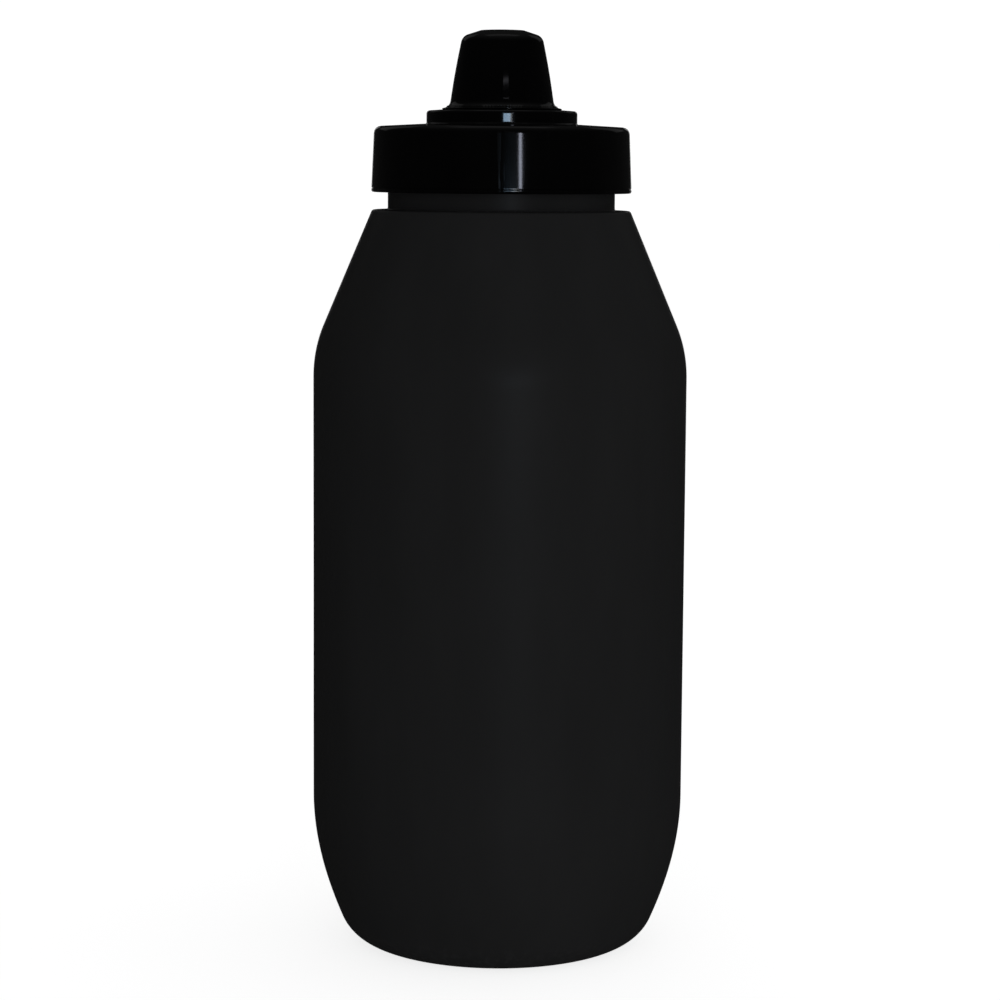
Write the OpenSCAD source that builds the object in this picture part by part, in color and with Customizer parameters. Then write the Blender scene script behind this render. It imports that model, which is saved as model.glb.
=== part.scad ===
// Sports squeeze bottle: a blow-moulded body, a screw cap and a push-pull nozzle.
// Millimetres. The origin is the centre of the ring that the bottle stands on, and +Z is up.
// Every profile below is a list of [radius, height] points, turned about the Z axis.

/* [Bottle body] */
// Outside diameter of the straight wall
body_d = 84.5; // [83.5:0.1:86]
// Thickness of the blown wall
wall = 1.3; // [1:0.1:1.6]
// Height of the flat top of the shoulder, where the neck starts
shoulder_z = 167; // [155:1:180]
// Lean of the shoulder from vertical, in degrees
shoulder_angle = 22.8; // [22:0.2:23.4]
// Height where the straight wall ends and the shoulder bend starts
bend_z = 129.5; // [129:0.5:131]
// Radius of the bend between the straight wall and the shoulder
bend_r = 30; // [26:1:34]
// Height where the straight wall starts, above the tucked-in lower wall
tuck_z = 34; // [30:1:40]
// Outside diameter of the ring that the bottle stands on
foot_d = 53.2; // [50:0.4:55.2]
// Radius of the heel between the foot and the lower wall
heel_r = 9.9; // [8:0.1:10.5]
// Lean of the lower wall from vertical where it meets the heel, in degrees
heel_angle = 23.5; // [21:0.5:25]
// Height of the push-up in the middle of the base
push_up = 5; // [3:0.5:7]

/* [Neck and thread] */
// Outside diameter of the neck
neck_d = 51; // [50.8:0.1:51.2]
// Thickness of the neck's wall
neck_wall = 2; // [1.8:0.1:2.2]
// Height of the neck from the shoulder to the rim
neck_h = 15.3; // [15:0.1:16]
// Rise of the thread in one turn
thread_pitch = 4; // [3.8:0.1:4.2]
// Number of turns in the thread
thread_turns = 1.5; // [1.25:0.25:1.5]
// How far the thread stands off the neck
thread_depth = 1.1; // [0.9:0.1:1.2]

/* [Screw cap] */
// Outside diameter at the cap's lower edge
cap_d = 58.4; // [58.2:0.1:60]
// Thickness of the flat gasket between the rim and the cap
gasket_t = 1.4; // [1.2:0.1:1.6]
// Gap between the shoulder and the cap's lower edge
cap_gap = 3.9; // [3.7:0.1:4.2]
// Diameter of the raised platform under the nozzle
platform_d = 33.8; // [33:0.2:36]
// Height of the platform above the cap's ceiling
platform_h = 5.6; // [5.4:0.1:6]
// Height of the bead round the cap's lower edge
bead_h = 0.7; // [0.6:0.1:0.9]

/* [Nozzle] */
// Height of the nozzle above the platform when it is pushed shut
nozzle_h = 17.6; // [17.5:0.1:19]
// Diameter of the nozzle's cone just above its foot
nozzle_d = 23.7; // [23.4:0.1:24.5]
// Lean of the nozzle's cone from vertical, in degrees
nozzle_angle = 10; // [9:0.5:10.5]
// Diameter of the nozzle's spreading foot
nozzle_foot_d = 26.8; // [26.4:0.2:28]
// Travel of the nozzle from shut to open
nozzle_travel = 6.7; // [5:0.1:6.7]

/* [Hidden] */

$fn = 96;
running_gap = 0.15;
stop_gap = 0.2;
rest_gap = 0.05;
hair = 0.02;

body_r = body_d / 2;
foot_r = foot_d / 2;
foot_land = 2.6;
corner_r = 0.8;
neck_r = neck_d / 2;
neck_in_r = neck_r - neck_wall;
rim_z = shoulder_z + neck_h;
ceiling_z = rim_z + gasket_t;

thread_root_w = 2.4;
thread_crest_w = 1;
thread_sink = 0.4;
thread_fade = 25;
thread_step = 9;
neck_thread_z = rim_z - 8;
cap_thread_z = neck_thread_z - thread_pitch / 2;
cap_thread_start = 54;

cap_r = cap_d / 2;
cap_z = shoulder_z + cap_gap;
cap_draft = 2.4;
cap_top_r = cap_r - 0.6;
cap_top_z = ceiling_z + 1.8;
cap_in_r = neck_r + thread_depth + 0.35;
cap_lead_in = 0.4;
cap_edge_r = 1.6;
bead_r = 0.45;
groove_w = 0.25;
groove_depth = 0.15;
top_rise = 0.65;
plug_skirt_r = neck_in_r - 0.35;
plug_skirt_t = 1.4;
plug_skirt_h = 3.4;

platform_r = platform_d / 2;
platform_z = ceiling_z + platform_h;
platform_edge_r = 0.7;
platform_drop = 0.25;
platform_wall = 1.8;
boss_in_r = 7.9;
boss_wall = 2;
boss_z = ceiling_z - 1.7;
rib_count = 6;
rib_t = 1;

stem_waist_r = 6.6;
stem_head_r = 7.15;
stem_bore_r = 5.2;
stem_barrel_r = boss_in_r - 0.1;
stem_flange_r = 12.2;
stem_cup_r = 10.2;
stem_cup_z = boss_z - 3.4;
stem_seat_z = boss_z - 1;
head_z = platform_z + 8.9;
head_h = 3.2;
plug_r = 3.4;
web_count = 3;
web_t = 1.2;

seal_z = head_z + 1.6;
seal_r = 6.62;
seal_section_r = 0.7;

membrane_r = stem_cup_r - 0.2;
membrane_rim_t = 1.1;
membrane_web_r = 7.2;
membrane_t = 0.6;
membrane_dome = 1;
slit_l = 9;
slit_w = 0.12;

core_z = platform_z + rest_gap;
core_bore_r = 7.4;
core_lip_r = stem_waist_r + running_gap;
core_lip_z = head_z - stop_gap - nozzle_travel;
core_lip_h = 1.4;
core_foot_r = 12.4;
core_foot_t = 0.8;
core_orifice_r = plug_r + 0.08;
nozzle_z = platform_z + nozzle_h;
core_top_z = nozzle_z - 1.4;
core_plate_t = 2;
cover_wall = 1.85;
cover_orifice_r = 4.3;
cover_foot_z = core_z + 0.3;
cover_edge_r = 2.3;
cover_crown_r = cover_orifice_r + 0.6;
cover_crown_angle = 18;
plug_tip_z = nozzle_z - 0.3;

// Points along an arc from angle a0 to a1, in degrees.
function arc(centre, r, a0, a1, n = 8) =
    [for (i = [0:n]) let (a = a0 + (a1 - a0) * i / n) centre + r * [cos(a), sin(a)]];

// A point and a unit left-hand normal on a quadratic Bezier curve.
function bezier(p, u) = (1 - u) * (1 - u) * p[0] + 2 * u * (1 - u) * p[1] + u * u * p[2];
function bezier_normal(p, u) =
    let (d = (1 - u) * (p[1] - p[0]) + u * (p[2] - p[1]))
    [-d.y, d.x] / norm(d);

// The lower wall runs from the heel, leaning out, to the foot of the straight wall.
heel_end = [foot_r, heel_r] + heel_r * [cos(heel_angle), -sin(heel_angle)];
tuck_run = (body_r - heel_end.x) / sin(heel_angle);
tuck_curve = [heel_end, heel_end + tuck_run * [sin(heel_angle), cos(heel_angle)], [body_r, tuck_z]];

// The shoulder's outer corner, t inside the outer surface.
function shoulder_corner(t) =
    let (bend_end = [body_r - bend_r, bend_z] + (bend_r - t) * [cos(shoulder_angle), sin(shoulder_angle)],
         top = shoulder_z - t)
    [bend_end.x - (top - bend_end.y) * tan(shoulder_angle), top];

// The wall from the middle of the base to the end of the shoulder bend, t inside the outer surface.
function body_wall(t, n = 20) = concat(
    [for (i = [0:n / 2]) let (x = i / (n / 2))
        [x * (foot_r - foot_land), t + push_up * (1 - x * x)]],
    arc([foot_r, heel_r], heel_r - t, -90, -heel_angle, n / 2),
    [for (i = [1:n]) bezier(tuck_curve, i / n) + t * bezier_normal(tuck_curve, i / n)],
    arc([body_r - bend_r, bend_z], bend_r - t, 0, shoulder_angle, n / 2));

// A ridge of trapezoid section wound on a helix. Its root is sunk into the wall at wall_r, its crest
// stands off by depth (negative for an inside thread), and both ends fade into the wall.
module thread(wall_r, depth, z0, start, turns) {
    side = sign(depth);
    steps = round(360 * turns / thread_step);
    root_r = wall_r - side * thread_sink;
    hidden_r = wall_r - side * thread_sink / 2;
    rings = [for (i = [0:steps])
        let (a = start + 360 * turns * i / steps,
             z = z0 + thread_pitch * a / 360,
             near_end = min(i, steps - i) * 360 * turns / steps,
             fade = sin(90 * min(1, near_end / thread_fade)),
             crest_r = hidden_r + (wall_r + depth - hidden_r) * fade,
             half_crest = thread_crest_w / 2)
        [for (p = [[root_r, -thread_root_w / 2], [crest_r, -half_crest],
                   [crest_r, half_crest], [root_r, thread_root_w / 2]])
            [p.x * cos(a), p.x * sin(a), z + p.y]]];
    points = [for (ring = rings) each ring];
    skin = [for (i = [0:steps - 1], k = [0:3])
        let (p = 4 * i + k, q = 4 * i + (k + 1) % 4)
        each [[p, q + 4, q], [p, p + 4, q + 4]]];
    ends = [[0, 1, 2], [0, 2, 3], [4 * steps, 4 * steps + 2, 4 * steps + 1],
            [4 * steps, 4 * steps + 3, 4 * steps + 2]];
    all_faces = concat(skin, ends);
    polyhedron(points, side < 0 ? all_faces : [for (f = all_faces) [f[0], f[2], f[1]]]);
}

// Blown shell with a pushed-up base, a stiff threaded neck and an open mouth.
module bottle_body() {
    outer = shoulder_corner(0);
    inner = shoulder_corner(wall);
    corner = [outer.x - corner_r * (1 - sin(shoulder_angle)) / cos(shoulder_angle), outer.y - corner_r];
    root_r = 0.5;
    lip_r = 0.5;
    color([0.1, 0.1, 0.1])
    union() {
        rotate_extrude()
        polygon(concat(
            body_wall(0),
            arc(corner, corner_r, shoulder_angle, 90, 4),
            arc([neck_r + root_r, shoulder_z + root_r], root_r, 270, 180, 3),
            arc([neck_r - lip_r, rim_z - lip_r], lip_r, 0, 90, 3),
            arc([neck_in_r + lip_r, rim_z - lip_r], lip_r, 90, 180, 3),
            [[neck_in_r, inner.y - wall], inner - [wall, wall]],
            [for (p = [len(body_wall(wall)) - 1:-1:0]) body_wall(wall)[p]]));
        thread(neck_r, thread_depth, neck_thread_z, 0, thread_turns);
    }
}

// Flat silicone ring that seals the cap to the rim.
module cap_gasket() {
    inner_r = plug_skirt_r + running_gap;
    width = cap_in_r - 0.35 - inner_r;
    color([0.12, 0.12, 0.12])
    translate([0, 0, rim_z + hair])
    rotate_extrude()
    translate([inner_r, 0])
    square([width, gasket_t - 2 * hair]);
}

// Moulded cap: skirt, sloping top, raised platform, plug skirt, boss for the stem and its ribs.
module screw_cap() {
    groove_z = cap_z + bead_h;
    platform_under_z = platform_z - platform_wall;
    platform_in_r = platform_r - platform_wall;
    color([0.02, 0.02, 0.02])
    union() {
        rotate_extrude()
        polygon(concat(
            [[cap_in_r + cap_lead_in, cap_z]],
            arc([cap_r - bead_r, cap_z + bead_r], bead_r, -90, 0, 5),
            [[cap_r, groove_z], [cap_r - groove_depth, groove_z + groove_w / 3],
             [cap_r - groove_depth, groove_z + groove_w], [cap_r - hair, groove_z + 1.5 * groove_w]],
            arc([cap_top_r - cap_edge_r, cap_top_z - cap_edge_r], cap_edge_r, cap_draft, 87, 6),
            [[platform_r + 0.3, cap_top_z + top_rise], [platform_r, cap_top_z + top_rise + 0.3]],
            arc([platform_r - platform_edge_r, platform_z - platform_drop - platform_edge_r],
                platform_edge_r, 0, 85, 5),
            [[nozzle_foot_d / 2 + 0.1, platform_z],
             [boss_in_r, platform_z], [boss_in_r, boss_z], [boss_in_r + boss_wall, boss_z],
             [boss_in_r + boss_wall, platform_under_z], [platform_in_r, platform_under_z],
             [platform_in_r, ceiling_z], [plug_skirt_r - plug_skirt_t, ceiling_z],
             [plug_skirt_r - plug_skirt_t, ceiling_z - plug_skirt_h],
             [plug_skirt_r - 0.5, ceiling_z - plug_skirt_h], [plug_skirt_r, ceiling_z - plug_skirt_h + 0.8],
             [plug_skirt_r, ceiling_z], [cap_in_r, ceiling_z], [cap_in_r, cap_z + 2 * cap_lead_in]]));
        thread(cap_in_r, -(thread_depth - 0.05), cap_thread_z, cap_thread_start, thread_turns);
        for (i = [0:rib_count - 1])
            rotate(360 / rib_count * i)
            translate([boss_in_r + boss_wall / 2, -rib_t / 2, ceiling_z + 1])
            cube([platform_in_r - boss_in_r, rib_t, platform_under_z - ceiling_z - 0.5]);
    }
}

// Hollow post that the nozzle slides on, with a plug held in its mouth by webs and a cup for the valve.
module nozzle_stem() {
    mouth_z = head_z + head_h;
    barrel_z = platform_z - 0.3;
    groove_r = seal_r - seal_section_r - hair;
    groove_half = seal_section_r + 0.08;
    inlet_r = membrane_web_r + 0.3;
    color([0.04, 0.04, 0.04])
    union() {
        rotate_extrude()
        polygon([
            [stem_bore_r, mouth_z], [stem_bore_r, stem_seat_z + 2.3], [inlet_r, stem_seat_z],
            [stem_cup_r, stem_seat_z], [stem_cup_r, stem_cup_z], [stem_flange_r - 0.4, stem_cup_z],
            [stem_flange_r, stem_cup_z + 0.4], [stem_flange_r, boss_z - hair],
            [stem_barrel_r, boss_z - hair], [stem_barrel_r, barrel_z - 0.3], [stem_barrel_r - 0.3, barrel_z],
            [stem_waist_r, barrel_z], [stem_waist_r, head_z], [stem_head_r, head_z],
            [stem_head_r, seal_z - groove_half], [groove_r, seal_z - groove_half],
            [groove_r, seal_z + groove_half], [stem_head_r, seal_z + groove_half],
            [stem_head_r, mouth_z - 0.5], [stem_head_r - 0.5, mouth_z]]);
        rotate_extrude()
        polygon([
            [0, head_z - 1.2], [1, head_z - 1.2], [plug_r - 1, head_z - 0.2], [plug_r, head_z + 1.4],
            [plug_r, plug_tip_z - 0.5], [plug_r - 0.5, plug_tip_z], [0, plug_tip_z]]);
        for (i = [0:web_count - 1])
            rotate(360 / web_count * i)
            translate([plug_r / 2, -web_t / 2, head_z + 0.2])
            cube([stem_bore_r + 0.3 - plug_r / 2, web_t, head_h - 0.6]);
    }
}

// Ring in the stem's groove that wipes the nozzle's bore.
module stem_seal_ring() {
    color([0.12, 0.12, 0.12])
    translate([0, 0, seal_z])
    rotate_extrude()
    translate([seal_r, 0])
    circle(seal_section_r);
}

// Self-closing silicone disc: a thick rim, a thin domed web and a crossed slit.
module valve_membrane() {
    rim_top_z = stem_seat_z - hair;
    rim_low_z = stem_seat_z - membrane_rim_t;
    web_z = rim_low_z + 0.2;
    dome = [for (i = [0:8]) let (x = i / 8) [membrane_web_r * x, membrane_dome * (1 - x * x)]];
    color([0.85, 0.85, 0.85])
    difference() {
        rotate_extrude()
        polygon(concat(
            [for (p = dome) p + [0, web_z]],
            [[membrane_web_r + 0.2, rim_low_z], [membrane_r, rim_low_z], [membrane_r, rim_top_z],
             [membrane_web_r, rim_top_z]],
            [for (i = [8:-1:0]) dome[i] + [0, web_z + membrane_t]]));
        for (a = [45, 135])
            rotate(a)
            translate([-slit_l / 2, -slit_w / 2, rim_low_z - 1])
            cube([slit_l, slit_w, 4]);
    }
}

// Snap ring that holds the membrane in the stem's cup, with three notches for taking it out.
module valve_retainer() {
    top_z = stem_seat_z - membrane_rim_t - hair;
    flange_z = stem_cup_z - stop_gap;
    flange_t = 1;
    flange_r = stem_flange_r - 0.6;
    color([0.04, 0.04, 0.04])
    difference() {
        rotate_extrude()
        polygon([
            [membrane_web_r, top_z], [membrane_web_r, flange_z - flange_t + 0.3],
            [membrane_web_r + 0.3, flange_z - flange_t], [flange_r, flange_z - flange_t],
            [flange_r, flange_z], [stem_cup_r - 0.05, flange_z], [stem_cup_r - 0.05, top_z]]);
        for (i = [0:2])
            rotate(120 * i + 30)
            translate([flange_r, 0, flange_z - flange_t - 1])
            cylinder(r = 1, h = flange_t + 1);
    }
}

// The sleeve's outer side, which the mouthpiece is moulded onto.
core_side = [
    [core_foot_r, core_z], [core_foot_r, core_z + core_foot_t],
    [nozzle_d / 2 - cover_wall, core_z + core_foot_t], [core_bore_r + 1.2, core_top_z - 2.4],
    [core_bore_r + 0.3, core_top_z]];

// Hard sleeve of the nozzle: foot, snap lip, bore for the seal and top plate with the orifice.
module nozzle_core() {
    lip_low_z = core_lip_z - core_lip_h;
    plate_z = core_top_z - core_plate_t;
    color([0.08, 0.08, 0.08])
    rotate_extrude()
    polygon(concat(
        [[core_bore_r + 0.4, core_z]], core_side,
        [[core_orifice_r, core_top_z], [core_orifice_r, plate_z], [core_bore_r, plate_z],
         [core_bore_r, core_lip_z], [core_lip_r, core_lip_z], [core_lip_r, lip_low_z + 0.5],
         [core_lip_r + 0.5, lip_low_z]]));
}

// Soft mouthpiece moulded over the sleeve: the tapered cone with its spreading foot.
module nozzle_cover() {
    foot_r = nozzle_foot_d / 2;
    fillet_r = (foot_r - nozzle_d / 2) / (1 - sin(nozzle_angle));
    fillet = [foot_r, cover_foot_z + fillet_r];
    low = fillet + fillet_r * [-cos(nozzle_angle), -sin(nozzle_angle)];
    // The edge's arc touches both the cone and the crown, which slopes down from the orifice.
    cone_slope = tan(nozzle_angle);
    crown_slope = tan(cover_crown_angle);
    cone_x = low.x + cone_slope * low.y - cover_edge_r / cos(nozzle_angle);
    crown_z = nozzle_z + crown_slope * cover_crown_r - cover_edge_r / cos(cover_crown_angle);
    edge_z = (crown_z - crown_slope * cone_x) / (1 - crown_slope * cone_slope);
    edge_x = cone_x - cone_slope * edge_z;
    color([0.02, 0.02, 0.02])
    rotate_extrude()
    polygon(concat(
        [[foot_r, core_z]],
        arc(fillet, fillet_r, 270, 180 + nozzle_angle, 6),
        arc([edge_x, edge_z], cover_edge_r, nozzle_angle, 90 - cover_crown_angle, 8),
        [[cover_crown_r, nozzle_z], [cover_orifice_r + 0.3, nozzle_z - 0.1],
         [cover_orifice_r, nozzle_z - 0.6], [cover_orifice_r, core_top_z]],
        [for (i = [len(core_side) - 1:-1:0]) core_side[i]]));
}

bottle_body();
cap_gasket();
screw_cap();
nozzle_stem();
stem_seal_ring();
valve_membrane();
valve_retainer();
nozzle_core();
nozzle_cover();
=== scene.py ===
"""Sports squeeze bottle: the looks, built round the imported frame.

Metres, +Z up, the same frame as the CAD. Outlines are lists of (radius, height) points in millimetres,
turned about the Z axis. The three outer pieces are turned here on a fine grid, and the inner pieces keep
their CAD meshes. Every material is procedural.
"""
import math

import bpy
from mathutils import Matrix, Vector, noise


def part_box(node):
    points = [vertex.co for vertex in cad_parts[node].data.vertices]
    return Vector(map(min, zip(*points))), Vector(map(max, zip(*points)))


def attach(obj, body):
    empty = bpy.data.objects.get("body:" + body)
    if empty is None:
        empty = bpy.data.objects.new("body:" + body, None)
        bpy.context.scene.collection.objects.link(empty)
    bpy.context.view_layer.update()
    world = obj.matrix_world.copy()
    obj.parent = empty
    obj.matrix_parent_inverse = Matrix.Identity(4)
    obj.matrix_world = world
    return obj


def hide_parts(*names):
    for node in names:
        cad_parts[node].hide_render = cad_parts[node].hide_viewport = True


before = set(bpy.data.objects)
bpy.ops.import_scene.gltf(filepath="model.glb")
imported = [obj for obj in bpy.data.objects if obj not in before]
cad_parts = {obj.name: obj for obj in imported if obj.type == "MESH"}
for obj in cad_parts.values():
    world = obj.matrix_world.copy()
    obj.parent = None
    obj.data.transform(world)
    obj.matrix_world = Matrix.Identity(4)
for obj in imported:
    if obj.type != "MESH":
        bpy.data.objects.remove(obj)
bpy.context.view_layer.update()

MM = 0.001

# A point this close to a straight wall, in millimetres, counts as on it.
TOLERANCE = 0.01


# ---------------------------------------------------------------- sizes in mm

def reach(node):
    """(radius, lowest height, highest height) of a round CAD node, in millimetres."""
    low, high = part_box(node)
    return high.x / MM, low.z / MM, high.z / MM


BODY_R, _, RIM_Z = reach("bottle_body")
CAP_R, CAP_Z, PLATFORM_Z = reach("screw_cap")
NOZZLE_FOOT_R, NOZZLE_LOW_Z, NOZZLE_TOP_Z = reach("nozzle_cover")
CORE_FOOT_R, CORE_Z, CORE_TOP_Z = reach("nozzle_core")

# The body, as in the CAD.
WALL = 1.3
PUSH_UP = 5.0
FOOT_R = 26.6
FOOT_LAND = 2.6
HEEL_R = 9.9
HEEL_ANGLE = 23.5
TUCK_Z = 34.0
BEND_Z = 129.5
BEND_R = 30.0
SHOULDER_ANGLE = 22.8
SHOULDER_Z = 167.0
SHOULDER_EDGE_R = 0.8
NECK_R = 25.5
NECK_WALL = 2.0
NECK_EDGE_R = 0.5
NECK_FOOT_H = 3.0

# What blow moulding leaves on the body: a parting line, a pinch-off line and slow ripples.
SEAM_H = 0.08
SEAM_W = 0.3
PINCH_H = 0.35
PINCH_W = 0.5
PINCH_R = 20.0
PINCH_FADE = 3.0
RIPPLE = 0.02
RIPPLE_PITCH = 34.0
RIPPLE_LAPS = 1.6
RIPPLE_FADE_Z = 12.0

# The threads of the neck and the cap. Angles are in degrees.
THREAD_PITCH = 4.0
THREAD_TURNS = 1.5
THREAD_DEPTH = 1.1
THREAD_HALF_CREST = 0.5
THREAD_HALF_ROOT = 1.2
THREAD_FADE = 25.0
THREAD_DROP = 8.0
THREAD_GAP = 0.35
NECK_THREAD_Z = RIM_Z - THREAD_DROP
CAP_THREAD_Z = NECK_THREAD_Z - THREAD_PITCH / 2
CAP_THREAD_START = 54.0
CAP_THREAD_DEPTH = THREAD_DEPTH - 0.05

# The cap.
GASKET_T = 1.4
CEILING_T = 1.8
CEILING_Z = RIM_Z + GASKET_T
CAP_IN_R = NECK_R + THREAD_DEPTH + THREAD_GAP
CAP_LEAD_IN = 0.4
CAP_TAPER = 0.6
CAP_EDGE_R = 1.6
CAP_TOP_R = CAP_R - CAP_TAPER
CAP_TOP_Z = CEILING_Z + CEILING_T
CAP_TOP_RISE = 0.65
BEAD_H = 0.7
BEAD_R = 0.45
GROOVE_W = 0.25
GROOVE_DEPTH = 0.15
PLATFORM_R = 16.9
PLATFORM_DROP = 0.25
PLATFORM_EDGE_R = 0.7
PLATFORM_WALL = 1.8
PLUG_SKIRT_GAP = 0.35
PLUG_SKIRT_R = NECK_R - NECK_WALL - PLUG_SKIRT_GAP
PLUG_SKIRT_T = 1.4
PLUG_SKIRT_H = 3.4
BOSS_IN_R = 7.9
BOSS_WALL = 2.0
BOSS_DROP = 1.7
BOSS_Z = CEILING_Z - BOSS_DROP
RIB_COUNT = 6
RIB_T = 1.0
RIB_LIFT = 1.0
RIB_SINK = 0.5

# The nozzle.
NOZZLE_R = 11.85
NOZZLE_ANGLE = 10.0
NOZZLE_BARREL = 0.12
NOZZLE_EDGE_R = 2.3
CROWN_ANGLE = 18.0
NOZZLE_FOOT_T = 0.3
NOZZLE_WALL = 1.85
ORIFICE_R = 4.3
ORIFICE_LIP = 0.6
CORE_BORE_R = 7.4
CORE_FOOT_T = 0.8
BREAK = 0.08

# Where an outline has a stretch longer than HOLD_FROM steps, a short step at each end holds it flat, so
# that smooth shading bends only on the curves.
HOLD = 0.08
HOLD_FROM = 0.6

# How finely the pieces are cut: the longest step along an outline, then the steps along its curves, then
# the sides round the axis.
BODY_STEP = 2.2
LID_STEP = 1.5
THREAD_STEP = 0.2
OUTER_STEPS = 28
INNER_STEPS = 14
NECK_EDGE_STEPS = 6
CAP_EDGE_STEPS = 4
FLARE_STEPS = 10
CONE_STEPS = 16
CROWN_EDGE_STEPS = 14
BODY_SIDES = 192
NOZZLE_SIDES = 144


# ---------------------------------------------------------------- outlines

def arc(centre, radius, start, end, steps):
    """Points along an arc, with angles in degrees."""
    angles = [math.radians(start + (end - start) * i / steps) for i in range(steps + 1)]
    return [(centre[0] + radius * math.cos(a), centre[1] + radius * math.sin(a)) for a in angles]


def rounded(corners, steps):
    """A closed outline whose corners, given as (radius, height, fillet), are rounded by their fillets."""
    points = []
    for i, (x, z, fillet) in enumerate(corners):
        here = Vector((x, z))
        back = (Vector(corners[i - 1][:2]) - here).normalized()
        ahead = (Vector(corners[(i + 1) % len(corners)][:2]) - here).normalized()
        half = math.acos(max(-1, min(1, back.dot(ahead)))) / 2
        if fillet == 0 or half > math.radians(89):
            points.append((x, z))
            continue
        centre = here + (back + ahead).normalized() * fillet / math.sin(half)
        first = here + back * fillet / math.tan(half) - centre
        last = here + ahead * fillet / math.tan(half) - centre
        turn = first.angle_signed(last)
        for k in range(steps + 1):
            a = -turn * k / steps
            points.append((centre.x + first.x * math.cos(a) - first.y * math.sin(a),
                           centre.y + first.x * math.sin(a) + first.y * math.cos(a)))
    return points


def stretches(points, closed):
    """Each point with the next one."""
    return list(zip(points, points[1:] + points[:1])) if closed else list(zip(points, points[1:]))


def refined(points, longest, closed=True):
    """The outline with its long stretches held flat at their ends and cut into steps."""
    out = []
    for (x0, z0), (x1, z1) in stretches(points, closed):
        length = math.hypot(x1 - x0, z1 - z0)
        steps = max(1, math.ceil(length / longest))
        cuts = [k / steps for k in range(1, steps)]
        if length > HOLD_FROM * longest:
            cuts = [HOLD / length] + cuts + [1 - HOLD / length]
        out += [(x0 + (x1 - x0) * cut, z0 + (z1 - z0) * cut) for cut in [0] + cuts]
    return out if closed else out + [points[-1]]


def finer(points, wanted, longest):
    """Cuts the stretches whose ends are both wanted into shorter steps."""
    out = [points[0]]
    for (x0, z0), (x1, z1) in stretches(points, closed=False):
        steps = 1
        if wanted(x0, z0) and wanted(x1, z1):
            steps = max(1, math.ceil(math.hypot(x1 - x0, z1 - z0) / longest))
        out += [(x0 + (x1 - x0) * k / steps, z0 + (z1 - z0) * k / steps) for k in range(1, steps + 1)]
    return out


def smooth_step(x):
    """Rises smoothly from 0 to 1 as x does."""
    x = max(0.0, min(1.0, x))
    return x * x * (3 - 2 * x)


def thread_height(angle, z, first_z, first_angle):
    """How much of its full depth a thread has at an angle in degrees and a height in mm, from 0 to 1."""
    best = 0.0
    last_angle = first_angle + 360 * THREAD_TURNS
    for lap in range(math.ceil(last_angle / 360)):
        total = angle + 360 * lap
        if not first_angle <= total <= last_angle:
            continue
        off = abs(z - first_z - THREAD_PITCH * total / 360)
        flank = smooth_step((THREAD_HALF_ROOT - off) / (THREAD_HALF_ROOT - THREAD_HALF_CREST))
        near_end = min(total - first_angle, last_angle - total)
        best = max(best, flank * math.sin(math.radians(90 * min(1, near_end / THREAD_FADE))))
    return best


# ---------------------------------------------------------------- turning outlines into meshes

def on_wall(r, wall_r):
    return abs(r - wall_r) < TOLERANCE


def uniform_angles(count):
    return [360 * i / count for i in range(count)]


def seamed_angles(count):
    """Even angles, with more of them beside the mould's parting line at 0 and 180 degrees."""
    beside = (0.2, 0.4, 0.6, 0.9, 1.3)
    extra = [(seam + way * off) % 360 for seam in (0, 180) for way in (-1, 1) for off in beside]
    return sorted(set(uniform_angles(count) + extra))


def turned(outline, angles, shift=None):
    """A ring of points in metres for each point of an outline in mm, or one point where it is on the axis.

    shift(r, z, angle) moves a point to a new (r, z)."""
    rings = []
    for r, z in outline:
        ring = []
        for angle in angles if r > 0 else angles[:1]:
            new_r, new_z = shift(r, z, angle) if shift else (r, z)
            a = math.radians(angle)
            ring.append((new_r * math.cos(a) * MM, new_r * math.sin(a) * MM, new_z * MM))
        rings.append(ring)
    return rings


def skin(name, rings, closed=True):
    """A smooth mesh through rings of points."""
    count = max(len(ring) for ring in rings)
    verts, numbered = [], []
    for ring in rings:
        numbered.append([len(verts) + i % len(ring) for i in range(count)])
        verts += ring
    faces = []
    for low, high in stretches(numbered, closed):
        for i in range(count):
            j = (i + 1) % count
            face = list(dict.fromkeys((low[i], low[j], high[j], high[i])))
            if len(face) > 2:
                faces.append(face)
    mesh = bpy.data.meshes.new(name)
    mesh.from_pydata(verts, [], faces)
    mesh.validate()
    mesh.shade_smooth()
    return mesh


def add_piece(name, mesh, material, body, slot, *nodes):
    """Puts a mesh in the scene as a piece that rides on a body and stands for the CAD nodes."""
    piece = bpy.data.objects.new(name, mesh)
    bpy.context.scene.collection.objects.link(piece)
    mesh.materials.clear()
    mesh.materials.append(material)
    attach(piece, body)
    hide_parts(*nodes)


# ---------------------------------------------------------------- materials

def maths(tree, operation, a, b):
    """A math node's output. Each input is a number or another node's output."""
    node = tree.nodes.new("ShaderNodeMath")
    node.operation = operation
    for value, socket in ((a, node.inputs[0]), (b, node.inputs[1])):
        if isinstance(value, (int, float)):
            socket.default_value = value
        else:
            tree.links.new(value, socket)
    return node.outputs[0]


# The middle of a noise's range, where nearly all of its values lie.
NOISE_LOW, NOISE_HIGH = 0.3, 0.7


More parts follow.
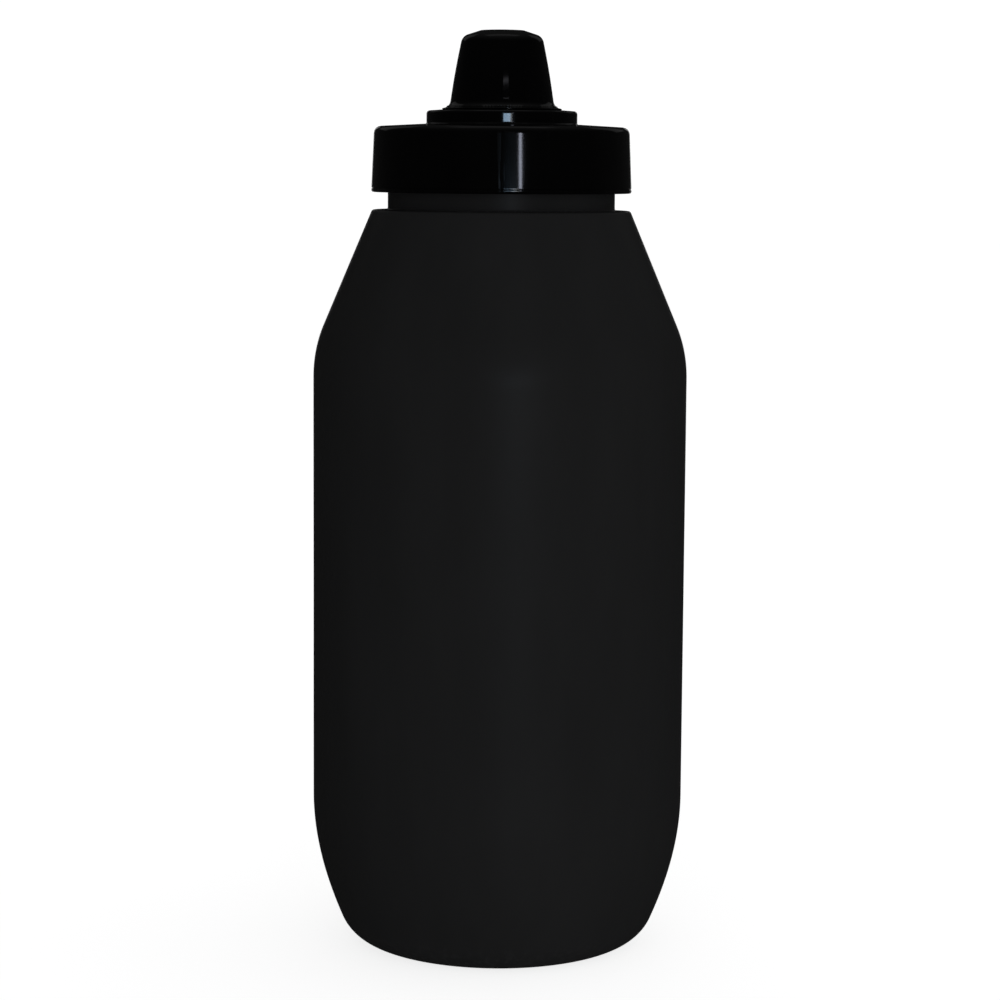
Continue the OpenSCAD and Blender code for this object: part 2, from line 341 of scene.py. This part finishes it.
class Shader:
    """A node material with short calls for the few nodes that these materials use."""

    def __init__(self, name, settings):
        self.material = bpy.data.materials.new(name)
        self.material.use_nodes = True
        self.tree = self.material.node_tree
        self.bsdf = self.tree.nodes["Principled BSDF"]
        for key, value in settings.items():
            self.bsdf.inputs[key].default_value = value
        self.place = self.tree.nodes.new("ShaderNodeTexCoord").outputs["Object"]

    def link(self, source, target):
        self.tree.links.new(source, target)

    def scaled(self, x, y, z, turn=(0, 0, 0)):
        """Object coordinates stretched, for streaks and scratches."""
        node = self.tree.nodes.new("ShaderNodeMapping")
        node.inputs["Scale"].default_value = (x, y, z)
        node.inputs["Rotation"].default_value = turn
        self.link(self.place, node.inputs["Vector"])
        return node.outputs["Vector"]

    def noise(self, scale, detail, where=None):
        node = self.tree.nodes.new("ShaderNodeTexNoise")
        node.inputs["Scale"].default_value = scale
        node.inputs["Detail"].default_value = detail
        self.link(where or self.place, node.inputs["Vector"])
        return node.outputs["Fac"]

    def spread(self, value, low, high, to_low, to_high):
        """Maps a value's range onto another and clamps it."""
        node = self.tree.nodes.new("ShaderNodeMapRange")
        for key, number in (("From Min", low), ("From Max", high), ("To Min", to_low), ("To Max", to_high)):
            node.inputs[key].default_value = number
        self.link(value, node.inputs["Value"])
        return node.outputs["Result"]

    def wander(self, noise_value, low, high):
        """A value that wanders from low to high as the noise does."""
        return self.spread(noise_value, NOISE_LOW, NOISE_HIGH, low, high)

    def add(self, a, b):
        return maths(self.tree, "ADD", a, b)

    def times(self, a, b):
        return maths(self.tree, "MULTIPLY", a, b)

    def height(self):
        node = self.tree.nodes.new("ShaderNodeSeparateXYZ")
        self.link(self.place, node.inputs["Vector"])
        return node.outputs["Z"]

    def mix_colour(self, factor, a, b):
        node = self.tree.nodes.new("ShaderNodeMix")
        node.data_type = "RGBA"
        self.link(factor, node.inputs["Factor"])
        for value, socket in ((a, node.inputs["A"]), (b, node.inputs["B"])):
            if isinstance(value, tuple):
                socket.default_value = (*value, 1)
            else:
                self.link(value, socket)
        return node.outputs["Result"]

    def mottled(self, noise_value, dark, light):
        """A colour that wanders between two as the noise does."""
        return self.mix_colour(self.wander(noise_value, 0, 1), dark, light)

    def bump(self, *layers):
        """Stacks (height, distance in metres, strength) layers into one normal."""
        normal = None
        for value, distance, strength in layers:
            node = self.tree.nodes.new("ShaderNodeBump")
            node.inputs["Distance"].default_value = distance
            node.inputs["Strength"].default_value = strength
            self.link(value, node.inputs["Height"])
            if normal:
                self.link(normal, node.inputs["Normal"])
            normal = node.outputs["Normal"]
        self.link(normal, self.bsdf.inputs["Normal"])

    def colour(self, value):
        self.link(value, self.bsdf.inputs["Base Color"])

    def roughness(self, value):
        self.link(value, self.bsdf.inputs["Roughness"])


def body_plastic():
    """Satin black blown polyethylene: fine grain, slow ripples, and scuffs on the heel."""
    s = Shader("body_plastic", {"IOR": 1.51, "Specular IOR Level": 0.09})
    grain = s.noise(2600, 2)
    peel = s.noise(420, 2)
    ripple = s.noise(45, 2, s.scaled(1, 1, 0.35))
    patches = s.noise(70, 4, s.scaled(1, 1, 0.3))
    flecks = s.noise(900, 3, s.scaled(1, 1, 0.2, (0.2, 0.1, 0)))
    heel = s.spread(s.height(), 0, 0.007, 1, 0)
    scuffs = s.times(heel, s.spread(flecks, 0.5, 0.62, 0, 1))
    tone = s.mottled(patches, (0.0184, 0.0184, 0.0187), (0.0212, 0.0212, 0.0216))
    s.colour(s.mix_colour(scuffs, tone, (0.029, 0.029, 0.03)))
    s.roughness(s.add(s.wander(patches, 0.32, 0.38), s.times(scuffs, 0.15)))
    s.bump((ripple, 0.0004, 0.25), (peel, 0.00006, 0.35), (grain, 0.00002, 0.4))
    return s.material


def gloss_plastic(name, rough_low, rough_high):
    """Glossy black moulded plastic: faint ripples and hairline scratches."""
    s = Shader(name, {"IOR": 1.5})
    ripple = s.noise(55, 1.5)
    smears = s.noise(120, 3, s.scaled(1, 1, 0.5, (0.3, 0.2, 0)))
    hair_a = s.noise(700, 2, s.scaled(1, 1, 0.04, (0.5, 0.3, 0)))
    hair_b = s.noise(700, 2, s.scaled(1, 1, 0.04, (-0.7, 0.2, 0.4)))
    hairs = s.add(s.spread(hair_a, 0.66, 0.7, 0, 1), s.spread(hair_b, 0.66, 0.7, 0, 1))
    s.colour(s.mottled(smears, (0.0005, 0.0005, 0.0006), (0.0009, 0.0009, 0.001)))
    s.roughness(s.add(s.wander(smears, rough_low, rough_high), s.times(hairs, 0.08)))
    s.bump((ripple, 0.0003, 0.12), (hairs, 0.000004, 0.3))
    return s.material


def moulded_plastic(name, dark, light, rough):
    """Plain moulded plastic for the inner pieces."""
    s = Shader(name, {"IOR": 1.49})
    patches = s.noise(260, 3)
    grain = s.noise(2400, 2)
    s.colour(s.mottled(patches, dark, light))
    s.roughness(s.wander(patches, rough, rough + 0.1))
    s.bump((patches, 0.0001, 0.15), (grain, 0.00002, 0.3))
    return s.material


def soft_rubber(name, dark, light, milky):
    """Silicone: matte, with dust-like specks, and light passing into it where it is milky."""
    s = Shader(name, {"IOR": 1.41, "Subsurface Weight": milky, "Subsurface Scale": 0.0008})
    specks = s.noise(1500, 3)
    patches = s.noise(200, 2)
    s.colour(s.mottled(patches, dark, light))
    s.roughness(s.wander(specks, 0.5, 0.68))
    s.bump((specks, 0.00003, 0.4))
    return s.material


# ---------------------------------------------------------------- bottle

def body_outline():
    """The shell's outer line, from the middle of the base up to the rim, and its inner line back down."""
    outer_r = BODY_R - SEAM_H

    def bezier(p, u):
        return tuple((1 - u) ** 2 * a + 2 * u * (1 - u) * b + u * u * c for a, b, c in zip(*p))

    def side(inset, steps):
        """Heel, lower wall, straight wall and bend, inset from the outer surface."""
        angle = math.radians(HEEL_ANGLE)
        end = (FOOT_R + HEEL_R * math.cos(angle), HEEL_R * (1 - math.sin(angle)))
        run = (outer_r - end[0]) / math.sin(angle)
        curve = (end, (outer_r, end[1] + run * math.cos(angle)), (outer_r, TUCK_Z))
        heel = arc((FOOT_R, HEEL_R), HEEL_R - inset, -90, -HEEL_ANGLE, steps)
        tuck = []
        for i in range(1, steps + 1):
            u = i / steps
            x, z = bezier(curve, u)
            dx, dz = ((1 - u) * (b - a) + u * (c - b) for a, b, c in zip(*curve))
            length = math.hypot(dx, dz)
            tuck.append((x - inset * dz / length, z + inset * dx / length))
        bend = arc((outer_r - BEND_R, BEND_Z), BEND_R - inset, 0, SHOULDER_ANGLE, steps)
        return heel + tuck + bend

    def base(inset, steps):
        """Push-up, from the middle of the base to the inner side of the foot."""
        reach_r = FOOT_R - FOOT_LAND
        return [(reach_r * i / steps, inset + PUSH_UP * (1 - (i / steps) ** 2)) for i in range(steps + 1)]

    def shoulder_corner(inset):
        x, z = side(inset, 1)[-1]
        return (x - (SHOULDER_Z - inset - z) * math.tan(math.radians(SHOULDER_ANGLE)), SHOULDER_Z - inset)

    neck_in = NECK_R - NECK_WALL
    outer_top, inner_top = shoulder_corner(0), shoulder_corner(WALL)
    under_z = inner_top[1] - WALL
    outer_neck = rounded([
        (*side(0, 1)[-1], 0), (*outer_top, SHOULDER_EDGE_R), (NECK_R, SHOULDER_Z, NECK_EDGE_R),
        (NECK_R, RIM_Z, NECK_EDGE_R), (neck_in, RIM_Z, 0)], NECK_EDGE_STEPS)[:-1]
    inner_neck = rounded([
        (NECK_R, RIM_Z, 0), (neck_in, RIM_Z, NECK_EDGE_R), (neck_in, under_z, 1.5),
        (inner_top[0] - WALL, under_z, 1), (*side(WALL, 1)[-1], 0)], NECK_EDGE_STEPS)[1:]
    outer = base(0, OUTER_STEPS // 2) + side(0, OUTER_STEPS)[:-1] + outer_neck
    inner = base(WALL, INNER_STEPS // 2) + side(WALL, INNER_STEPS)[:-1] + inner_neck[::-1]
    return outer, inner[::-1]


def shape_body(r, z, angle):
    """Adds the pinch-off line, the thread, the parting line and the blown wall's slow ripples."""
    a = math.radians(angle)
    across = r * math.sin(a)
    if r < FOOT_R - FOOT_LAND:
        return r, z - PINCH_H * math.exp(-(across / PINCH_W) ** 2) * smooth_step((PINCH_R - r) / PINCH_FADE)
    if r < NECK_R + 1:
        return r + THREAD_DEPTH * thread_height(angle, z, NECK_THREAD_Z, 0), z
    seam = SEAM_H * math.exp(-(across / SEAM_W) ** 2)
    wobble = noise.noise(Vector((RIPPLE_LAPS * math.cos(a), RIPPLE_LAPS * math.sin(a), z / RIPPLE_PITCH)))
    return r + smooth_step(z / RIPPLE_FADE_Z) * (seam - RIPPLE * (1 + wobble)), z


def make_bottle(material):
    outer, inner = (refined(line, BODY_STEP, closed=False) for line in body_outline())
    outer = finer(outer, lambda r, z: on_wall(r, NECK_R) and z > SHOULDER_Z + NECK_FOOT_H, THREAD_STEP)
    angles = seamed_angles(BODY_SIDES)
    mesh = skin("bottle_shell", turned(outer, angles, shape_body) + turned(inner, angles), closed=False)
    add_piece("bottle_shell", mesh, material, "bottle", "body_plastic", "bottle_body")


# ---------------------------------------------------------------- cap and nozzle

def cap_outline():
    """The cap's closed outline, from its lower edge up the outside, then down the inside."""
    platform_under = PLATFORM_Z - PLATFORM_WALL
    platform_in = PLATFORM_R - PLATFORM_WALL
    skirt_in = PLUG_SKIRT_R - PLUG_SKIRT_T
    skirt_low = CEILING_Z - PLUG_SKIRT_H
    groove_z = CAP_Z + BEAD_H
    groove_r = CAP_R - GROOVE_DEPTH
    boss_r = BOSS_IN_R + BOSS_WALL
    return rounded([
        (CAP_IN_R + CAP_LEAD_IN, CAP_Z, 0.15), (CAP_R, CAP_Z, BEAD_R), (CAP_R, groove_z, 0.08),
        (groove_r, groove_z + 0.1, 0.04), (groove_r, groove_z + GROOVE_W, 0.04),
        (CAP_R - 0.02, groove_z + 1.5 * GROOVE_W, 0.1), (CAP_TOP_R, CAP_TOP_Z, CAP_EDGE_R),
        (PLATFORM_R, CAP_TOP_Z + CAP_TOP_RISE, 0.3),
        (PLATFORM_R, PLATFORM_Z - PLATFORM_DROP, PLATFORM_EDGE_R),
        (NOZZLE_FOOT_R + 0.1, PLATFORM_Z, 1), (BOSS_IN_R, PLATFORM_Z, 0.25), (BOSS_IN_R, BOSS_Z, 0.15),
        (boss_r, BOSS_Z, 0.25), (boss_r, platform_under, 0.3), (platform_in, platform_under, 0.3),
        (platform_in, CEILING_Z, 0.3), (skirt_in, CEILING_Z, 0.3), (skirt_in, skirt_low, 0.25),
        (PLUG_SKIRT_R, skirt_low, 0.5), (PLUG_SKIRT_R, CEILING_Z, 0.15), (CAP_IN_R, CEILING_Z, 0.15),
        (CAP_IN_R, CAP_Z + 2 * CAP_LEAD_IN, 0.3)], CAP_EDGE_STEPS)


def shape_cap(r, z, angle):
    """Adds the inside thread."""
    if on_wall(r, CAP_IN_R):
        return r - CAP_THREAD_DEPTH * thread_height(angle, z, CAP_THREAD_Z, CAP_THREAD_START), z
    return r, z


def rib_mesh():
    """The ribs between the boss and the platform's wall, as closed boxes."""
    low_z, high_z = CEILING_Z + RIB_LIFT, PLATFORM_Z - PLATFORM_WALL + RIB_SINK
    near_r, far_r = BOSS_IN_R + BOSS_WALL / 2, PLATFORM_R - PLATFORM_WALL + BOSS_WALL / 2
    sides = ((near_r, -RIB_T / 2), (far_r, -RIB_T / 2), (far_r, RIB_T / 2), (near_r, RIB_T / 2))
    verts, faces = [], []
    for i in range(RIB_COUNT):
        turn = Matrix.Rotation(math.radians(360 / RIB_COUNT * i), 3, "Z")
        first = len(verts)
        verts += [turn @ Vector((x, y, z)) * MM for z in (low_z, high_z) for x, y in sides]
        faces += [[first + k for k in face] for face in (
            (3, 2, 1, 0), (4, 5, 6, 7), (0, 1, 5, 4), (1, 2, 6, 5), (2, 3, 7, 6), (3, 0, 4, 7))]
    mesh = bpy.data.meshes.new("cap_ribs")
    mesh.from_pydata(verts, [], faces)
    return mesh


def make_cap(material):
    outline = refined(cap_outline(), LID_STEP)
    outline = finer(outline + outline[:1], lambda r, z: on_wall(r, CAP_IN_R), THREAD_STEP)[:-1]
    mesh = skin("cap_turned", turned(outline, uniform_angles(BODY_SIDES), shape_cap))
    cap = bpy.data.objects.new("cap_turned", mesh)
    ribs = bpy.data.objects.new("cap_ribs", rib_mesh())
    for piece in (cap, ribs):
        bpy.context.scene.collection.objects.link(piece)
    union = cap.modifiers.new("ribs", "BOOLEAN")
    union.operation = "UNION"
    union.solver = "EXACT"
    union.object = ribs
    joined = bpy.data.meshes.new_from_object(cap.evaluated_get(bpy.context.evaluated_depsgraph_get()))
    joined.name = "cap_shell"
    for piece in (cap, ribs):
        bpy.data.objects.remove(piece)
    joined.shade_smooth()
    add_piece("cap_shell", joined, material, "cap", "cap_plastic", "screw_cap")


def mouthpiece_outline():
    """The mouthpiece's closed outline: foot, cone and crown, then the orifice and the sleeve's side."""
    lean = math.radians(NOZZLE_ANGLE)
    foot_z = NOZZLE_LOW_Z + NOZZLE_FOOT_T
    fillet = (NOZZLE_FOOT_R - NOZZLE_R) / (1 - math.sin(lean))
    flare = arc((NOZZLE_FOOT_R, foot_z + fillet), fillet, 270, 180 + NOZZLE_ANGLE, FLARE_STEPS)

    # The edge's arc touches both the cone and the crown, which slopes down from the orifice.
    cone_slope, crown_slope = math.tan(lean), math.tan(math.radians(CROWN_ANGLE))
    crown_r = ORIFICE_R + ORIFICE_LIP
    cone_x = flare[-1][0] + cone_slope * flare[-1][1] - NOZZLE_EDGE_R / math.cos(lean)
    crown_z = NOZZLE_TOP_Z + crown_slope * crown_r - NOZZLE_EDGE_R / math.cos(math.radians(CROWN_ANGLE))
    edge_z = (crown_z - crown_slope * cone_x) / (1 - crown_slope * cone_slope)
    edge = arc((cone_x - cone_slope * edge_z, edge_z), NOZZLE_EDGE_R,
               NOZZLE_ANGLE, 90 - CROWN_ANGLE, CROWN_EDGE_STEPS)

    low, high = Vector(flare[-1]), Vector(edge[0])
    cone = []
    for k in range(1, CONE_STEPS):
        x, z = low.lerp(high, k / CONE_STEPS)
        cone.append((x + NOZZLE_BARREL * math.sin(math.pi * k / CONE_STEPS), z))

    rim = [(NOZZLE_FOOT_R - BREAK, NOZZLE_LOW_Z), (NOZZLE_FOOT_R, NOZZLE_LOW_Z + BREAK),
           (NOZZLE_FOOT_R, foot_z - BREAK), (NOZZLE_FOOT_R - BREAK, foot_z)]
    lip = [(crown_r, NOZZLE_TOP_Z), (ORIFICE_R + 0.3, NOZZLE_TOP_Z - 0.1),
           (ORIFICE_R + 0.08, NOZZLE_TOP_Z - 0.3), (ORIFICE_R, NOZZLE_TOP_Z - ORIFICE_LIP),
           (ORIFICE_R, CORE_TOP_Z)]
    core_step_z = CORE_Z + CORE_FOOT_T
    core_side = [(CORE_BORE_R + 0.3, CORE_TOP_Z), (CORE_BORE_R + 1.2, CORE_TOP_Z - 2.4),
                 (NOZZLE_R - NOZZLE_WALL, core_step_z), (CORE_FOOT_R, core_step_z), (CORE_FOOT_R, CORE_Z)]
    return rim + flare[1:] + cone + edge + lip + core_side


def make_mouthpiece(material):
    outline = refined(mouthpiece_outline(), LID_STEP)
    mesh = skin("mouthpiece", turned(outline, uniform_angles(NOZZLE_SIDES)))
    add_piece("mouthpiece", mesh, material, "nozzle", "nozzle_plastic", "nozzle_cover")


# ---------------------------------------------------------------- studio

# Metres, degrees, and millimetres for the lens.
CAMERA_PLACE = (0.00018, -0.650, 0.17813)
CAMERA_PITCH = 6.733
CAMERA_ROLL = 0.41
CAMERA_LENS = 103.6
CAMERA_SENSOR = 36
LAMP_DISTANCE = 1.2

# Name, azimuth, lowest and highest elevation, width, radiance and colour. Azimuth 0 is the camera's side.
LAMPS = (
    ("lid_strip", 16.2, 3, 6.4, 2.4, 9, (0.78, 0.83, 1)),
    ("window", 7.3, 0.6, 1.9, 10, 14, (0.51, 0.74, 1)),
    ("low_window", 11.3, -1.6, -0.3, 5, 38, (0.93, 0.96, 1)),
    ("high_window", 9, 20.2, 21, 12, 0.75, (0.9, 0.9, 1)),
    ("back_left", -168, -10, 12, 4, 0.5, (1, 1, 1)),
    ("back_right", 168, -10, 12, 4, 0.5, (1, 1, 1)),
    ("rear_left", -143, 15, 45, 24, 0.08, (1, 1, 1)),
    ("rear_right", 140, 15, 45, 24, 0.08, (1, 1, 1)),
    ("overhead", 180, 68, 90, 40, 0.11, (1, 1, 1)))

# Azimuth and level of the soft fills that light matt surfaces, and the level from everywhere else.
FILLS = ((0, 0.75), (95, 0.55), (180, 0.6))
FILL_LEAST = 0.15

# What glossy surfaces mirror of the sky: what it adds overhead, and its level at the horizon.
SKY_TOP = 0.075
SKY_LEAST = 0.012

# How fast a fill or the sky falls off round its middle, as a power of the cosine.
LOBE_POWER = 4

BACKDROP = 1.05
FLOOR_TONE = 0.8
FLOOR_HALF = 6.0


def make_camera():
    camera = bpy.data.objects.new("camera", bpy.data.cameras.new("camera"))
    camera.data.lens = CAMERA_LENS
    camera.data.sensor_width = CAMERA_SENSOR
    camera.matrix_world = (
        Matrix.Translation(CAMERA_PLACE)
        @ Matrix.Rotation(math.radians(90 - CAMERA_PITCH), 4, "X")
        @ Matrix.Rotation(math.radians(CAMERA_ROLL), 4, "Z"))
    bpy.context.scene.collection.objects.link(camera)
    bpy.context.scene.camera = camera


def add_lamp(name, azimuth, low, high, width, radiance, colour):
    """A softbox that faces the cap, with its place and its size in degrees as seen from there."""
    cap = Vector((0, 0, CAMERA_PLACE[2]))
    middle, spread = math.radians((low + high) / 2), math.radians(high - low)
    a = math.radians(azimuth)
    away = Vector((math.sin(a) * math.cos(middle), -math.cos(a) * math.cos(middle), math.sin(middle)))
    data = bpy.data.lights.new(name, "AREA")
    data.shape = "RECTANGLE"
    data.size = 2 * LAMP_DISTANCE * math.tan(math.radians(width) / 2)
    data.size_y = 2 * LAMP_DISTANCE * math.tan(spread / 2)
    data.energy = radiance * math.pi * data.size * data.size_y
    data.color = colour
    lamp = bpy.data.objects.new(name, data)
    lamp.location = cap + away * LAMP_DISTANCE
    lamp.rotation_euler = away.to_track_quat("Z", "Y").to_euler()
    lamp.visible_camera = False
    bpy.context.scene.collection.objects.link(lamp)


def make_world():
    """White where the camera sees it, soft fills for matt surfaces, and a dim sky for glossy ones."""
    world = bpy.data.worlds.new("studio")
    world.use_nodes = True
    bpy.context.scene.world = world
    tree = world.node_tree
    tree.nodes.clear()
    ray = tree.nodes.new("ShaderNodeLightPath")
    direction = tree.nodes.new("ShaderNodeTexCoord").outputs["Generated"]

    def background(level, strength=None):
        node = tree.nodes.new("ShaderNodeBackground")
        node.inputs["Color"].default_value = (level, level, level, 1)
        if strength:
            tree.links.new(strength, node.inputs["Strength"])
        return node.outputs[0]

    def choose(test, other, chosen):
        node = tree.nodes.new("ShaderNodeMixShader")
        tree.links.new(ray.outputs[test], node.inputs[0])
        tree.links.new(other, node.inputs[1])
        tree.links.new(chosen, node.inputs[2])
        return node.outputs[0]

    def lobe(level, towards):
        """Light that is strongest in one direction and falls off smoothly round it."""
        dot = tree.nodes.new("ShaderNodeVectorMath")
        dot.operation = "DOT_PRODUCT"
        dot.inputs[1].default_value = towards
        tree.links.new(direction, dot.inputs[0])
        facing = maths(tree, "MAXIMUM", dot.outputs["Value"], 0)
        return maths(tree, "MULTIPLY", maths(tree, "POWER", facing, LOBE_POWER), level)

    fill = FILL_LEAST
    for azimuth, level in FILLS:
        a = math.radians(azimuth)
        fill = maths(tree, "ADD", lobe(level, (math.sin(a), -math.cos(a), 0)), fill)
    sky = maths(tree, "ADD", lobe(SKY_TOP, (0, 0, 1)), SKY_LEAST)

    lit = choose("Is Glossy Ray", background(1, fill), background(1, sky))
    out = tree.nodes.new("ShaderNodeOutputWorld")
    tree.links.new(choose("Is Camera Ray", lit, background(BACKDROP)), out.inputs["Surface"])


def make_floor():
    """A pale floor that only the camera sees, so that it neither lights nor shades the bottle."""
    corners = [(x * FLOOR_HALF, y * FLOOR_HALF, 0) for x, y in ((-1, -1), (1, -1), (1, 1), (-1, 1))]
    mesh = bpy.data.meshes.new("floor")
    mesh.from_pydata(corners, [], [(0, 1, 2, 3)])
    material = bpy.data.materials.new("pale_floor")
    material.use_nodes = True
    bsdf = material.node_tree.nodes["Principled BSDF"]
    bsdf.inputs["Base Color"].default_value = (FLOOR_TONE, FLOOR_TONE, FLOOR_TONE, 1)
    bsdf.inputs["Roughness"].default_value = 1
    bsdf.inputs["Specular IOR Level"].default_value = 0
    bsdf.inputs["Emission Color"].default_value = (1, 1, 1, 1)
    bsdf.inputs["Emission Strength"].default_value = FLOOR_TONE
    mesh.materials.append(material)
    floor = bpy.data.objects.new("floor", mesh)
    floor.visible_glossy = False
    floor.visible_diffuse = False
    floor.visible_shadow = False
    bpy.context.scene.collection.objects.link(floor)


# ---------------------------------------------------------------- the scene

def finish_node(node, material):
    """Gives a CAD node its material."""
    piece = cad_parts[node]
    for place in piece.material_slots:
        place.link = "OBJECT"
        place.material = material


def main():
    make_camera()
    make_world()
    for lamp in LAMPS:
        add_lamp(*lamp)
    make_floor()
    make_bottle(body_plastic())
    make_cap(gloss_plastic("cap_plastic", 0.07, 0.1))
    make_mouthpiece(gloss_plastic("nozzle_plastic", 0.06, 0.09))
    black = moulded_plastic("stem_plastic", (0.006, 0.006, 0.006), (0.009, 0.009, 0.009), 0.32)
    core = moulded_plastic("core_plastic", (0.004, 0.004, 0.004), (0.006, 0.006, 0.006), 0.35)
    seal = soft_rubber("gasket_rubber", (0.03, 0.03, 0.03), (0.045, 0.045, 0.045), 0.0)
    milky = soft_rubber("valve_silicone", (0.62, 0.62, 0.6), (0.72, 0.72, 0.7), 0.4)
    for node in ("nozzle_stem", "valve_retainer"):
        finish_node(node, black)
    for node in ("cap_gasket", "stem_seal_ring"):
        finish_node(node, seal)
    finish_node("nozzle_core", core)
    finish_node("valve_membrane", milky)
    bpy.context.scene.view_settings.view_transform = "Standard"
    bpy.context.view_layer.update()


main()
